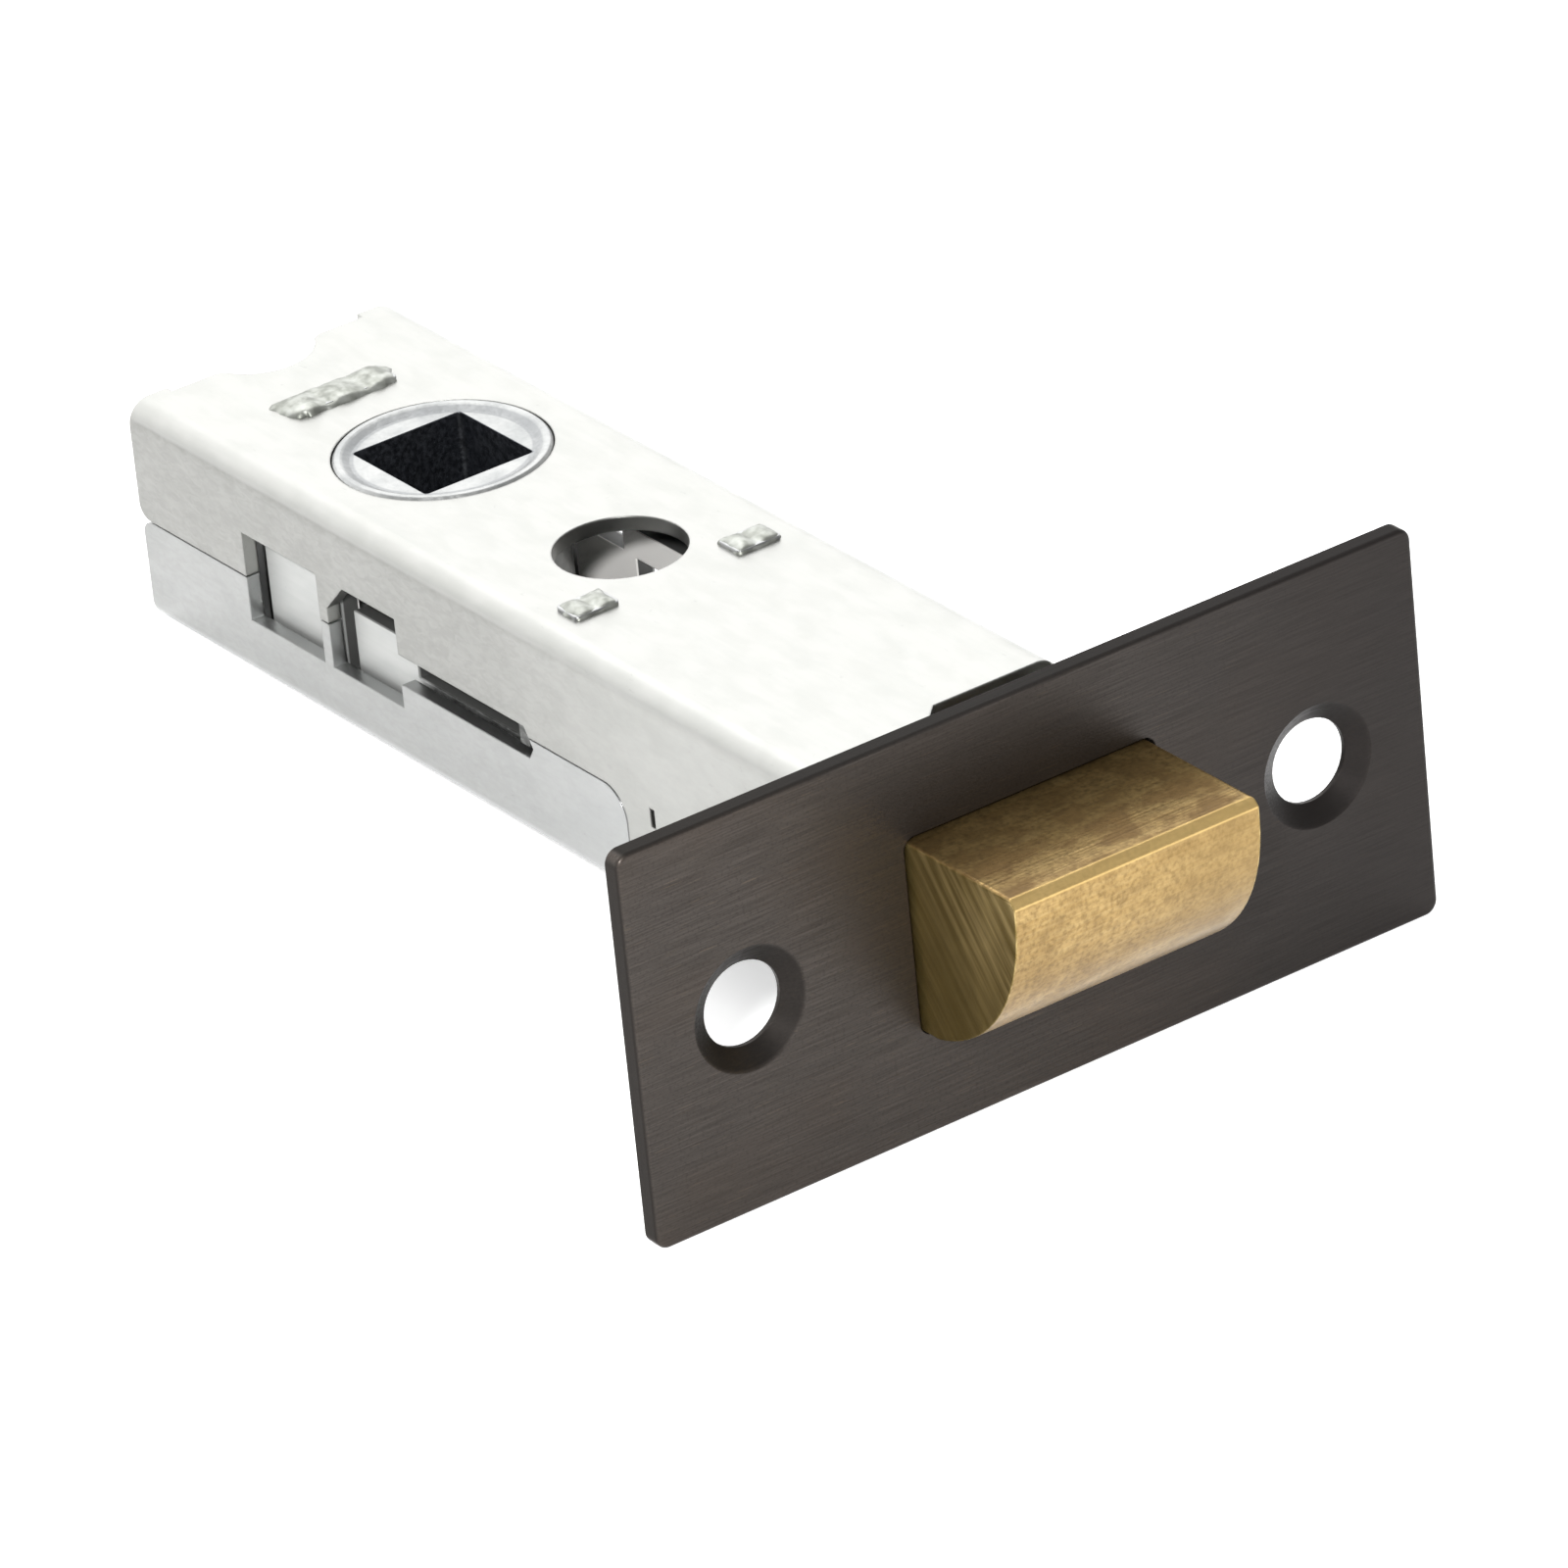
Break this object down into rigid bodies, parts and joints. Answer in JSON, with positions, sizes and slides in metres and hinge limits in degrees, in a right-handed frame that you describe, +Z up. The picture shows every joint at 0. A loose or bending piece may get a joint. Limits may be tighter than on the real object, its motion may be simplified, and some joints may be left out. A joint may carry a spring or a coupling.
{
  "type": "tubular door latch",
  "caption": "Sprung bolt-through door latch with a bronze forend, brass bevelled bolt, two-shell steel case and a hub for a square spindle.",
  "frame": {"origin": "middle of the forend's front face, on the line of the bolt and midway between the two screw holes", "axes": "+X the way the bolt is thrown out of the door's edge, +Y along the forend, +Z up along the spindle"},
  "size_m": [0.0902, 0.0576, 0.0258],
  "materials": {
    "bronze_plate": "brushed dark bronze plating",
    "zinc_steel": "bright zinc plating on pressed steel",
    "hub_metal": "die-cast zinc alloy, satin",
    "brass": "solid brass, lightly tarnished",
    "spring_steel": "drawn spring wire"
  },
  "bodies": {
    "case": {"forend": "bronze_plate", "forend_collar": "zinc_steel", "upper_shell": "zinc_steel", "lower_shell": "zinc_steel", "front_tie_plate": "zinc_steel", "rear_tie_plate": "zinc_steel", "return_spring": "spring_steel"},
    "hub_body": {"hub": "hub_metal"},
    "retractor": {"retractor_yoke": "zinc_steel", "retractor_arm_right": "zinc_steel", "retractor_arm_left": "zinc_steel", "bolt_spring": "spring_steel"},
    "bolt": {"latch_bolt": "brass", "bolt_stem": "zinc_steel", "stem_washer": "zinc_steel", "stem_clip": "spring_steel"}
  },
  "joints": [
    {"name": "hub_turn", "type": "hinge", "parent": "case", "child": "hub_body", "pos_m": [-0.06, 0, 0], "axis": [0, 0, 1], "range_deg": [0, 69.9]},
    {"name": "retractor_slide", "type": "slide", "parent": "case", "child": "retractor", "axis": [-1, 0, 0], "range_m": [0, 0.0102], "stiffness_N_per_m": 300, "springref_m": -0.01, "deforming": ["return_spring"]},
    {"name": "bolt_push", "type": "slide", "parent": "retractor", "child": "bolt", "axis": [-1, 0, 0], "range_m": [0, 0.0102], "stiffness_N_per_m": 150, "springref_m": -0.008, "deforming": ["bolt_spring"]}
  ],
  "couplings": [
    {"joint": "hub_turn", "follows": "retractor_slide", "rad_per_m": 119.6}
  ]
}
